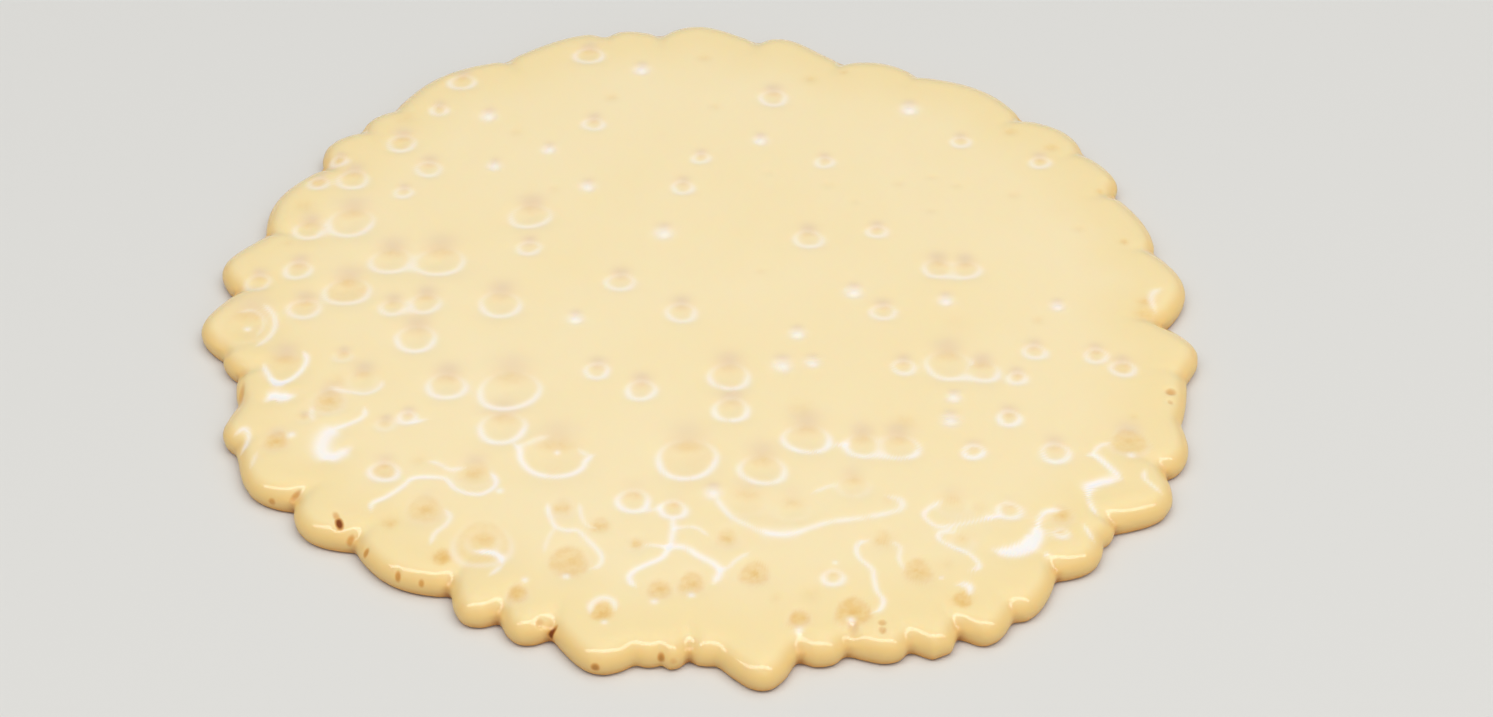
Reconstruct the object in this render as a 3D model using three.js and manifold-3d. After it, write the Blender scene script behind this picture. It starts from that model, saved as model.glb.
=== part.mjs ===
// A round pancake whose batter is still wet on top: a flat disc with a lobed, bulging rim, its upper
// face pitted by the bubbles that have risen through it. It is one solid.
// Millimetres, +Z up. The underside lies flat on z = 0, centred on the origin, and -Y is the front.
// Places on the plan are read from the middle of the poured batter, which is then centred exactly.

import * as THREE from 'three';
import { mergeVertices } from 'three/addons/utils/BufferGeometryUtils.js';
import Module from 'manifold-3d';

// Driving dimensions
const thickness = 4.0;        // from the underside to the level top
const bulgeHeight = 1.6;      // where the rim is widest
const footInset = 0.8;        // how far the rim tucks in under the bulge
const shoulderRun = 4.2;      // from the widest line in to the level top
const creaseReach = 0.55;     // how much further in the shoulder starts behind a cleft
const facetLength = 2.0;      // length of a facet along the rim
const footSteps = 2;          // facets from the underside up to the bulge
const shoulderSteps = 5;      // facets from the bulge up to the level top
const lobeSharpness = 1.1;    // 1 is a plain sine bulge, more is narrower

const craterSpread = 1.45;    // where the dip round a bubble starts, in bubble radii
const craterDepth = 0.17;     // depth of the ring where the film meets the batter, in diameters
const deepestRing = 0.95;     // limit of that depth
const domeDrop = 0.3;         // how far the film's middle lies below the level top, in ring depths
const filmBend = 0.6;         // where the film bends down to its ring, in bubble radii
const bendDrop = 0.12;        // how much lower than its middle it lies there, in ring depths
const poreDepth = 1.1;        // depth of a small open pore
const poreSides = 8;
const cutterTop = 2;          // how far the cutting shapes reach above the surface
const sidesBySize = [[4, 10], [6, 12], [Infinity, 16]];  // [bubbles smaller than this, their sides]

const halvings = 16;          // steps in the search for a radius, each twice as fine
const weldGap = 1e-4;         // points closer than this are one

// The lobes of the rim, anticlockwise from +X. Each one starts at a cleft between two runs of batter:
// [bearing of the cleft in degrees, its radius, bulge of the lobe after it, lean of the lobe]
// A lean above 1 puts the bulge's crest late in the lobe, below 1 early.
const lobes = [
  [11.5, 67.6, 1.0, 0.8],
  [23.5, 67.3, 1.6, 0.7],
  [32.5, 68.7, 1.8, 0.9],
  [42.75, 67.1, 2.0, 0.9],
  [59, 66.0, 1.4, 1.0],
  [69.75, 64.2, 2.0, 1.7],
  [82.5, 66.6, 2.5, 1.3],
  [95.5, 68.2, 1.0, 1.4],
  [103, 69.2, 1.4, 0.6],
  [117, 68.2, 2.0, 1.0],
  [134.75, 67.3, 0.8, 1.1],
  [140.75, 67.1, 2.1, 1.1],
  [149.5, 65.9, 1.9, 1.1],
  [164.5, 65.9, 3.2, 1.3],
  [176, 66.5, 3.4, 1.2],
  [187.5, 66.8, 0.6, 0.9],
  [191.5, 65.0, 0.1, 1.0],
  [197, 65.7, 1.7, 1.2],
  [204, 68.1, 2.4, 1.3],
  [216, 65.6, 2.3, 0.9],
  [226, 64.0, 1.8, 1.0],
  [240, 62.5, 2.5, 1.0],
  [247.25, 63.9, 2.0, 1.0],
  [253.75, 64.3, 3.0, 1.2],
  [264, 66.3, 0.3, 0.9],
  [266.7, 66.1, 0.9, 0.9],
  [269.7, 65.3, 0.3, 0.7],
  [272.7, 66.2, 4.2, 1.1],
  [281.5, 67.0, 1.1, 1.1],
  [287, 67.4, 1.5, 1.3],
  [293.5, 69.6, 2.1, 0.9],
  [299, 70.3, 2.2, 0.75],
  [305, 71.6, 1.3, 0.7],
  [312.5, 69.7, 1.7, 1.1],
  [320, 70.2, 0.3, 0.8],
  [322.3, 70.0, 3.3, 1.15],
  [332.6, 71.1, 1.8, 0.85],
  [341, 70.0, 0.1, 1.0],
  [348.5, 69.3, 3.0, 1.1],
  [357.75, 65.8, 3.3, 0.95],
];

// The larger bubbles on the upper face: [x, y, diameter of the ring]. Those that touch have run together.
const bubbles = [
  // left edge
  [-56.6, 17, 4], [-50.7, 18.3, 7], [-57.3, 8, 4], [-62.7, 5.3, 3.5], [-49.8, 3.5, 6.5], [-55.5, -0.5, 4.5],
  [-44.2, 10.3, 6], [-37.2, 10.2, 7], [-43, -0.3, 3.6], [-38.5, 0.7, 4.5], [-39.1, -7.3, 6], [-63, -4, 8],
  [-57, -12.7, 6], [-45.8, -16, 5], [-34.2, -16.7, 5.5], [-50, -20.7, 4], [-47.2, -28, 7],
  // left front
  [-56.5, -28.3, 3.5], [-41.3, -33.8, 3.5], [-29.3, -35, 5.5], [-35.3, -41, 4], [-27.3, -47.7, 8],
  // front
  [-18.5, -30.5, 9], [-1, -31.5, 8.5], [9, -33.3, 6.5], [15, -27.3, 6.5], [-8, -39.3, 4.5], [-2.7, -41, 3.6],
  [7, -39.5, 5], [13, -40.8, 5], [-16, -51, 4.5], [-0.3, -55, 3.5], [8, -53, 3.5], [20.7, -59, 4],
  [22.5, -28.5, 5], [27.5, -28.5, 5.5], [20.7, -37.7, 4], [34.2, -40, 4], [41.5, -41, 3.5], [28.7, -52.7, 3.8],
  // right front and right
  [58.3, -28, 5], [48.2, -30.2, 4], [34.8, -12.3, 6.5], [39.5, -13.8, 4.5], [58.8, -13.3, 3.4], [34.4, 8.3, 4.4],
  [38.3, 8, 4.2], [26.2, -1.3, 3.5],
  // middle
  [-27.9, 0.3, 6], [-25.5, -17.3, 8.5], [-26, -25, 6.5], [-7.5, -17.6, 4.2], [-13.7, -13.7, 3.4], [4.5, -14.6, 5.8],
  [4.8, -21.5, 5], [-11.1, 5.3, 4], [-2.3, -1.3, 4.3], [15.9, 15, 4.2], [-24.7, 19.6, 6.3],
  // far side
  [-45, 37.8, 4.3], [-40.5, 31.5, 3.8], [-51.5, 29, 4.6], [-37, 53, 4], [-17.7, 60.3, 4.4], [11, 49.2, 4.2],
];

// Small open pores in the thin batter at the front left: [x, y, diameter]
const pores = [[-46.2, -44.5, 2], [-42, -49.3, 1.2], [-37.7, -53.3, 1.3], [-34.5, -54.6, 1.1], [-3.8, -64.8, 1.4]];

const batterColour = 0xf6e4b6;
const batterRoughness = 0.4;

const wasm = await Module();
wasm.setup();

// The widest line of the rim as points with their bearing and whether they stand in a cleft.
function rimOutline() {
  const points = [];
  lobes.forEach(([bearing, radius, bulge, lean], index) => {
    const next = lobes[(index + 1) % lobes.length];
    const span = (next[0] - bearing + 360) % 360;
    const steps = Math.max(3, Math.round(THREE.MathUtils.degToRad(span) * radius / facetLength));
    for (let step = 0; step < steps; step++) {
      const t = step / steps;
      const angle = THREE.MathUtils.degToRad(bearing + span * t);
      const chord = THREE.MathUtils.lerp(radius, next[1], t);
      const reach = chord + bulge * Math.sin(Math.PI * t ** lean) ** lobeSharpness;
      points.push({ angle, reach, inCleft: step === 0, x: reach * Math.cos(angle), y: reach * Math.sin(angle) });
    }
  });
  return points;
}

// Distance in plan from a point inside the batter to the widest line.
function distanceToRim(x, y, outline) {
  let nearest = Infinity;
  outline.forEach((start, index) => {
    const end = outline[(index + 1) % outline.length];
    const along = { x: end.x - start.x, y: end.y - start.y };
    const reach = ((x - start.x) * along.x + (y - start.y) * along.y) / (along.x ** 2 + along.y ** 2);
    const t = THREE.MathUtils.clamp(reach, 0, 1);
    nearest = Math.min(nearest, Math.hypot(start.x + along.x * t - x, start.y + along.y * t - y));
  });
  return nearest;
}

// Radius at a rim point's bearing where the batter is a given distance inside the widest line.
function insetRadius(point, inset, outline) {
  let inner = point.reach - 2 * inset - 1;
  let outer = point.reach;
  for (let halving = 0; halving < halvings; halving++) {
    const middle = (inner + outer) / 2;
    const gap = distanceToRim(middle * Math.cos(point.angle), middle * Math.sin(point.angle), outline);
    if (gap > inset) inner = middle;
    else outer = middle;
  }
  return (inner + outer) / 2;
}

// Section of the rim: [distance in from the widest line, height], a quarter ellipse under the bulge
// and a longer one over it.
function rimSection() {
  const section = [];
  for (let step = 0; step < footSteps; step++) {
    const angle = step / footSteps * Math.PI / 2;
    section.push([footInset * (1 - Math.sin(angle)), bulgeHeight * (1 - Math.cos(angle))]);
  }
  for (let step = 0; step <= shoulderSteps; step++) {
    const angle = step / shoulderSteps * Math.PI / 2;
    const rise = (thickness - bulgeHeight) * Math.sin(angle);
    section.push([shoulderRun * (1 - Math.cos(angle)), bulgeHeight + rise]);
  }
  return section;
}

// Height of the upper face before any bubble, which falls away over the shoulder.
function topHeight(x, y, outline) {
  const inset = Math.min(distanceToRim(x, y, outline), shoulderRun);
  const sine = Math.sqrt(1 - (1 - inset / shoulderRun) ** 2);
  return bulgeHeight + (thickness - bulgeHeight) * sine;
}

// The poured batter: a lathed disc whose every column is then moved out to the lobed rim.
function pouredBatter(outline) {
  const section = rimSection();
  const profile = [new THREE.Vector2(0, 0)];
  section.forEach(([, height]) => profile.push(new THREE.Vector2(1, height)));
  profile.push(new THREE.Vector2(0, thickness));
  const disc = new THREE.LatheGeometry(profile, outline.length);
  const position = disc.getAttribute('position');
  for (let index = 0; index < position.count; index++) {
    const row = index % profile.length;
    const point = outline[Math.floor(index / profile.length) % outline.length];
    const onAxis = row === 0 || row === profile.length - 1;
    let radius = 0;
    if (!onAxis) {
      const [inset, height] = section[row - 1];
      const crease = point.inCleft && height > bulgeHeight ? 1 + creaseReach : 1;
      radius = insetRadius(point, inset * crease, outline);
    }
    position.setXYZ(index, radius * Math.cos(point.angle), radius * Math.sin(point.angle), profile[row].y);
  }
  return disc;
}

// Everything above a bubble's film and the dip round it, as a turned shape standing on the bubble.
function bubbleCutter([x, y, diameter], outline) {
  const radius = diameter / 2;
  const depth = Math.min(craterDepth * diameter, deepestRing);
  const [, sides] = sidesBySize.find(([limit]) => diameter < limit);
  const profile = [
    new THREE.Vector2(0, -depth * domeDrop),
    new THREE.Vector2(radius * filmBend, -depth * (domeDrop + bendDrop)),
    new THREE.Vector2(radius, -depth),
    new THREE.Vector2(radius * craterSpread, 0),
    new THREE.Vector2(radius * craterSpread, cutterTop),
    new THREE.Vector2(0, cutterTop),
  ];
  const cutter = new THREE.LatheGeometry(profile, sides);
  cutter.rotateX(Math.PI / 2);
  cutter.translate(x, y, topHeight(x, y, outline));
  return cutter;
}

// A small pore: an upturned cone that ends in a point.
function poreCutter([x, y, diameter], outline) {
  const radius = diameter / 2;
  const slope = radius / poreDepth;
  const profile = [
    new THREE.Vector2(0, -poreDepth),
    new THREE.Vector2(radius + slope * cutterTop, cutterTop),
    new THREE.Vector2(0, cutterTop),
  ];
  const cutter = new THREE.LatheGeometry(profile, poreSides);
  cutter.rotateX(Math.PI / 2);
  cutter.translate(x, y, topHeight(x, y, outline));
  return cutter;
}

function toSolid(geometry) {
  const bare = geometry.clone();
  bare.deleteAttribute('normal');
  bare.deleteAttribute('uv');
  const merged = mergeVertices(bare, weldGap);
  const corners = [];
  const index = merged.getIndex().array;
  for (let first = 0; first < index.length; first += 3) {
    const [a, b, c] = [index[first], index[first + 1], index[first + 2]];
    if (a !== b && b !== c && c !== a) corners.push(a, b, c);
  }
  const mesh = new wasm.Mesh({
    numProp: 3,
    vertProperties: new Float32Array(merged.getAttribute('position').array),
    triVerts: new Uint32Array(corners),
  });
  return new wasm.Manifold(mesh);
}

function toGeometry(solid) {
  const mesh = solid.getMesh();
  const geometry = new THREE.BufferGeometry();
  geometry.setAttribute('position', new THREE.BufferAttribute(new Float32Array(mesh.vertProperties), 3));
  geometry.setIndex(new THREE.BufferAttribute(new Uint32Array(mesh.triVerts), 1));
  geometry.computeVertexNormals();
  return geometry;
}

function pancakeGeometry() {
  const outline = rimOutline();
  let solid = toSolid(pouredBatter(outline));
  for (const bubble of bubbles) solid = solid.subtract(toSolid(bubbleCutter(bubble, outline)));
  for (const pore of pores) solid = solid.subtract(toSolid(poreCutter(pore, outline)));
  const geometry = toGeometry(solid);
  geometry.computeBoundingBox();
  const middle = geometry.boundingBox.getCenter(new THREE.Vector3());
  geometry.translate(-middle.x, -middle.y, 0);
  return geometry;
}

const batter = new THREE.MeshStandardMaterial({
  name: 'wet_batter',
  color: batterColour,
  roughness: batterRoughness,
  metalness: 0,
});

const pancake = new THREE.Mesh(pancakeGeometry(), batter);
pancake.name = 'pancake';

const part = new THREE.Group();
part.add(pancake);

export default part;
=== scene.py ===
import math
import bpy
import bmesh
import numpy as np
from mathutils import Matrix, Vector


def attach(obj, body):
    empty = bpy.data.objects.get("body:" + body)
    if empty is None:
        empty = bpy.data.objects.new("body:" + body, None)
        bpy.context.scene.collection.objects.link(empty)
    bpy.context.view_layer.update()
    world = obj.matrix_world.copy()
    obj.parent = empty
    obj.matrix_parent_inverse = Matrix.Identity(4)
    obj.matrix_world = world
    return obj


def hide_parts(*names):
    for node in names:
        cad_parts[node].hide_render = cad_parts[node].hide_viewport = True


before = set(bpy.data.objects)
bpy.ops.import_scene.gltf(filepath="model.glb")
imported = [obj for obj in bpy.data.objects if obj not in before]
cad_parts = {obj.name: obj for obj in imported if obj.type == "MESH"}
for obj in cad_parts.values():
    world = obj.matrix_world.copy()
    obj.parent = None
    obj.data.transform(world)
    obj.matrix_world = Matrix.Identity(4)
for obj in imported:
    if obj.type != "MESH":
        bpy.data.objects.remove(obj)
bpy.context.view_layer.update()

mm = 0.001
farOff = 99.0  # mm, a start for a search that is longer than any gap in it


def linearColour(hexCode):
    channels = [int(hexCode[i:i + 2], 16) / 255 for i in (1, 3, 5)]
    linear = [c / 12.92 if c <= 0.04045 else ((c + 0.055) / 1.055) ** 2.4 for c in channels]
    return (*linear, 1.0)


def smoothStep(low, high, value):
    t = np.clip((value - low) / (high - low), 0, 1)
    return t * t * (3 - 2 * t)


def bell(gap, width):
    return np.exp(-(gap / width) ** 2)


def deepen(layer, values):
    np.maximum(layer, values, out=layer)


def addObject(name, data):
    item = bpy.data.objects.new(name, data)
    bpy.context.scene.collection.objects.link(item)
    return item


# Camera: in front of the pancake and above it, looking straight back.
view = {
    "place": (6.9, -322.2, 279.0),   # mm
    "pitch": 41.5,                   # degrees below the horizon
    "lens": 72.34,
    "sensor": 36,
    "clipStart": 0.01,               # m
}


def makeCamera():
    data = bpy.data.cameras.new("camera")
    data.lens = view["lens"]
    data.sensor_width = view["sensor"]
    data.clip_start = view["clipStart"]
    camera = addObject("camera", data)
    camera.location = [value * mm for value in view["place"]]
    camera.rotation_euler = (math.radians(90 - view["pitch"]), 0, 0)
    bpy.context.scene.camera = camera


makeCamera()
print("camera made")


# The poured batter. Sizes in mm.
batter = {
    "thickness": 4.0,
    "bulgeHeight": 1.6,      # where the rim is widest
    "bulgeReach": 0.002,     # how far off that height a point of the widest line may be
    "footInset": 0.8,        # how far the rim tucks in under the bulge
    "shoulderRun": 3.7,      # from the widest line in to the level top
    "cells": 286,            # grid cells across the top, about half a millimetre each
    "shoulderRings": 11,
    "footRings": 4,
    "undersideRings": 5,
    "footStep": 0.3,         # from the foot to the underside's first ring, in ring steps
    "rimSteps": 1440,        # steps round the rim when it is measured, a quarter of a degree each
    "rimSearch": 36,         # steps to either side in which a point's nearest rim is looked for
    "rimZone": 20.0,         # beyond this the distance to the rim no longer matters
    "cleftSteps": 10,        # a cleft is the lowest point of the rim in so many steps to either side
    "lobeSteps": 26,         # and its depth is measured from the highest points in so many
    "leastCleft": 0.25,
    "fullCleft": 1.5,        # as deep as this it has its full crease
    "creaseLength": 6.5,     # how far a cleft runs on over the shoulder
    "creaseDepth": 0.5,
    "creaseWidth": 1.0,
    "cleftShadeWidth": 0.6,        # half width of the painted shade strip in a cleft
    "inside": 0.13,          # the smooth rim bulges between the solid's facets, so it starts inside it
    "reliefStart": 0.8,      # the relief fades in over this distance from the rim
    "swell": 0.05,           # slow unevenness of the level top
    "swellRuns": (9, 11, 15),    # its waves across, straight back and aslant, mm a radian
    "swellStarts": (1, 0, 2),    # and where each starts, in radians
}

# Bubbles that have run together: how strong the painted highlight outline is, then (x, y, diameter) of each,
# in mm.
mergedBubbles = [
    (1, [(-56.7, 17.2, 4.4), (-50.8, 19.1, 6.8)]),
    (1, [(-44.2, 10.3, 6), (-37.2, 10.2, 7)]),
    (1, [(-43, -0.3, 3.6), (-38.5, 0.7, 4.5)]),
    (1, [(34.4, 8.3, 4.4), (38.3, 8, 4.2)]),
    (1, [(34.8, -12.3, 6.5), (39.5, -13.8, 4.5)]),
    (1, [(15, -27.2, 6.3)]),
    (1, [(22.5, -28.6, 5), (27.3, -28.9, 5.4)]),
    (0.1, [(7, -39.7, 5.4), (13, -41, 4.6)]),
]

# (x, y, diameter, how tan the film is, how strong its painted highlight outline is)
ringBubbles = [
    # left edge
    (-57.3, 8, 4, 0.2, 1), (-62.7, 5.3, 3.5, 0.2, 0.7), (-49.8, 3.5, 6.5, 0.5, 1),
    (-55.5, -0.5, 4.5, 0.4, 1), (-39.2, -6.8, 5.8, 0, 1.2), (-63, -4, 8, 0.35, 0.1), (-57, -13, 6, 0.3, 0.1),
    (-49, -10.8, 2.5, 0.3, 0.4), (-45.8, -15.6, 4.6, 0.2, 0.2), (-50, -20.3, 4.6, 0.6, 0.25),
    (-53, -23.6, 1.8, 0.3, 0.1), (-39, -23.3, 2.6, 0.15, 0.9), (-41.9, -24.8, 2.5, 0.25, 0.35),
    (-34.2, -16.7, 5.5, 0.2, 1), (-56.3, -28.2, 3.6, 0.8, 0.15),
    # left front
    (-41.2, -33.8, 4, 0.6, 0.9), (-35.2, -41.3, 5, 0.6, 0.15), (-39.6, -43.7, 2, 0.6, 0),
    # front
    (-29.3, -34.4, 5.2, 0.4, 0.15), (-32.3, -49.9, 2.4, 1.2, 0), (-27.3, -47.4, 8, 0.5, 0.45),
    (-27.2, -46.7, 4.6, 0.3, 0.25),
    (-18.5, -31, 8.5, 0.35, 0), (-1, -31, 8.3, 0.4, 1), (9, -33.2, 6.2, 0.35, 0.9),
    (-8, -39.3, 4.5, 0.3, 1), (-2.7, -41, 3.6, 0.4, 1), (-17.3, -41, 3.4, 0.5, 0.15),
    (-12.2, -44.2, 2.5, 0.75, 0), (-7.4, -47.6, 2.6, 0.5, 0.15), (4.4, -46.6, 3.4, 0.6, 0.15),
    (-16, -50.9, 5.2, 0.8, 0.1), (-4.2, -55.8, 3.2, 0.85, 0.1), (-0.2, -54.7, 3.6, 0.8, 0.1),
    (7.9, -53, 4, 0.85, 0.1), (13.5, -60.8, 2.8, 1.2, 0.2), (18, -53.5, 2.9, 0.35, 0.9),
    (-11.4, -59.7, 2.8, 1.1, 0), (-22.2, -56.4, 2.9, 1.1, 0.2), (20.4, -59.7, 4.6, 1, 0.1),
    (24.6, -46.8, 3.4, 0.5, 0.1), (28.9, -52.5, 4, 0.8, 0.1), (34.3, -57.6, 2.4, 1.1, 0),
    (21, -36.6, 4.4, 0.3, 0.2), (33.9, -40.2, 4.4, 0.35, 0.15), (34.8, -47.1, 3.2, 0.35, 0.2),
    (41.3, -41.2, 3.3, 0.15, 1), (48.1, -42.3, 3.2, 0.7, 0.15), (47.8, -45.5, 1.9, 0.35, 0.8),
    (48.2, -30.2, 4, 0.1, 1),
    # middle
    (-27.9, 0.6, 5.9, 0, 1.1), (-25.5, -17.3, 8.5, 0.2, 1), (-26, -25, 6.5, 0.2, 1),
    (-24.7, 20.5, 5.9, 0.1, 1), (-24.5, 12.9, 3.3, 0, 1), (-11.1, 5.3, 4, 0, 1),
    (-2.3, -1.3, 4.3, 0, 1), (15.9, 15, 4.2, 0, 1), (-13.7, -13.7, 3.4, 0, 1), (-7.5, -17.6, 4.2, 0, 1),
    (4.5, -14.6, 5.8, 0, 1), (4.8, -21.5, 5, 0, 1), (25.9, 16.6, 2.9, 0.1, 1),
    # right
    (37.3, -30, 2.9, 0, 1.1), (58.3, -28.4, 5.2, 0.7, 0.25), (26.2, -1.3, 3.5, 0, 1),
    (46.9, -9.8, 3.2, 0.1, 1), (55.4, -10.6, 3.2, 0.4, 1), (58.8, -13.3, 3.4, 0.5, 1),
    (28.6, -13, 3.2, 0.1, 1), (44.1, -15.3, 2.7, 0.3, 1), (42.5, -23.4, 3.2, 0.3, 1),
    # far side
    (-45, 37.8, 4.3, 0.4, 1), (-40, 46, 2.8, 0.2, 1), (-40.5, 31.5, 3.8, 0.1, 1),
    (-43.7, 25.7, 2.6, 0, 1), (-37, 53.3, 4, 0.3, 1), (-51.5, 29, 4.6, 0.2, 1), (-56.5, 28, 3, 0.7, 1),
    (-54, 33.5, 2.5, 0.7, 1), (-17.7, 60.3, 4.4, 0.4, 1), (-16.3, 42.5, 3.2, 0.1, 1),
    (0.1, 34, 2.6, 0, 1), (18.6, 33, 2.7, 0, 1), (-2.5, 27, 3.2, 0, 1), (11, 49.2, 4.2, 0.1, 1),
    (39.2, 38, 2.8, 0.1, 1), (50.8, 33, 2.9, 0.4, 1),
]

# The smallest bubbles, beads of film with a painted highlight and painted shade behind them: (x, y,
# diameter)
beadBubbles = [
    (-5.1, 16.1, 2.2), (-17.1, -3, 1.8), (14, -6.2, 1.8), (11.8, -12.8, 2.2), (16.1, -12.2, 1.7),
    (22.1, 2.8, 2), (35.1, 0.9, 1.8), (50.8, -0.3, 1.6), (35.2, -19.4, 1.6), (34.5, -24, 2),
    (-30.7, 32, 1.7), (-32.4, 44.3, 2), (-9.4, 56.2, 2), (-22.8, 36, 1.7), (9, 38.2, 1.8),
    (-16.6, 27, 1.8), (31.8, 46, 2.2), (2.5, -38.1, 1.9),
]

# Faint dimples over bubbles still under the skin: (x, y, diameter, how tan)
faintDimples = [
    (-59.5, 14, 1.4, 0.3), (-49.2, -15.7, 3, 0.3), (-58, 22.7, 3, 0.4), (-36.7, -31.7, 2.5, 0.3),
    (10.5, -57, 1.5, 0.4), (15, -56.5, 2.5, 0.4), (37.3, -40.7, 2, 0.3), (32.7, -51, 2, 0.3),
    (25.7, -38.8, 2, 0.3), (14.3, -21.3, 3.8, 0.3), (36.5, -3, 4, 0.1), (47.9, -3.1, 1.8, 0.4),
    (28.3, -24, 3, 0.4), (59.3, -23, 1.5, 0.3), (55.2, 17.3, 1.8, 0.3), (-45, 43.8, 3.2, 0.3),
    (-28, 40.6, 2, 0.3), (-13.8, 49.2, 2.2, 0.4), (16.8, 54, 2.3, 0.5), (0.3, 59.6, 2.3, 0.4),
    (2, 47, 1.8, 0.3), (19, 27.5, 2, 0.2), (46.3, 25.2, 2, 0.3), (29.4, 28, 2, 0.2),
    (34.5, 29.5, 1.5, 0.2), (38, 27.5, 1.8, 0.2), (34, 21.5, 1.8, 0.2), (46.9, 40.5, 2, 0.7),
    (52.7, 36.5, 1.9, 0.8), (59.2, 26.2, 1.4, 0.9), (61.5, 14.2, 1.3, 0.9), (22, 55.8, 1.3, 0.7),
    (63, -1.6, 3.2, 0.9), (63.3, 0.7, 2.2, 1.1), (9, 7.8, 1.6, 0.2), (10.2, 30.5, 1.6, 0.1),
    (-21.5, 26.7, 1.8, 0.2), (22.8, 23.7, 1.6, 0.1),
]

# Open pores with a brown throat: (x, y, width, length, bearing of the length in degrees, how brown)
pores = [
    (-46.7, -42.3, 0.8, 1.5, 115, 0.32), (-46.2, -43.5, 0.85, 1.6, 110, 1), (-42.4, -48, 0.7, 1.2, 55, 0.5),
    (-37.9, -52.1, 0.7, 1.3, 90, 0.5), (-34.8, -53.2, 0.7, 1, 90, 0.4), (-3.8, -66, 0.8, 1.3, 90, 0.6),
    (-17.9, -61.8, 0.65, 2.1, 40, 1), (24, -61.4, 1, 1, 0, 0.3), (24, -62.6, 1.1, 0.9, 0, 0.3),
    (65, -17.9, 1.1, 1.6, 30, 0.35), (64.7, -20, 0.8, 0.8, 0, 0.25), (-52.8, -37.6, 0.7, 2, 38, 0.4),
    (-55.9, -37.6, 0.8, 1, 20, 0.4), (-12, -67.2, 0.9, 1, 0, 0.6), (-2, -66.6, 0.8, 1.6, 0, 0.3),
    (14, -66, 1, 1.4, 90, 0.45), (20.3, -61.9, 1.4, 2.6, 90, 0.2), (-62.3, -17.8, 0.8, 3.8, 88, 0.3),
    (-44.7, -45.5, 0.8, 1.5, 60, 0.4), (-19.1, -60.8, 1, 1, 0, 0.25),
]
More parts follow.
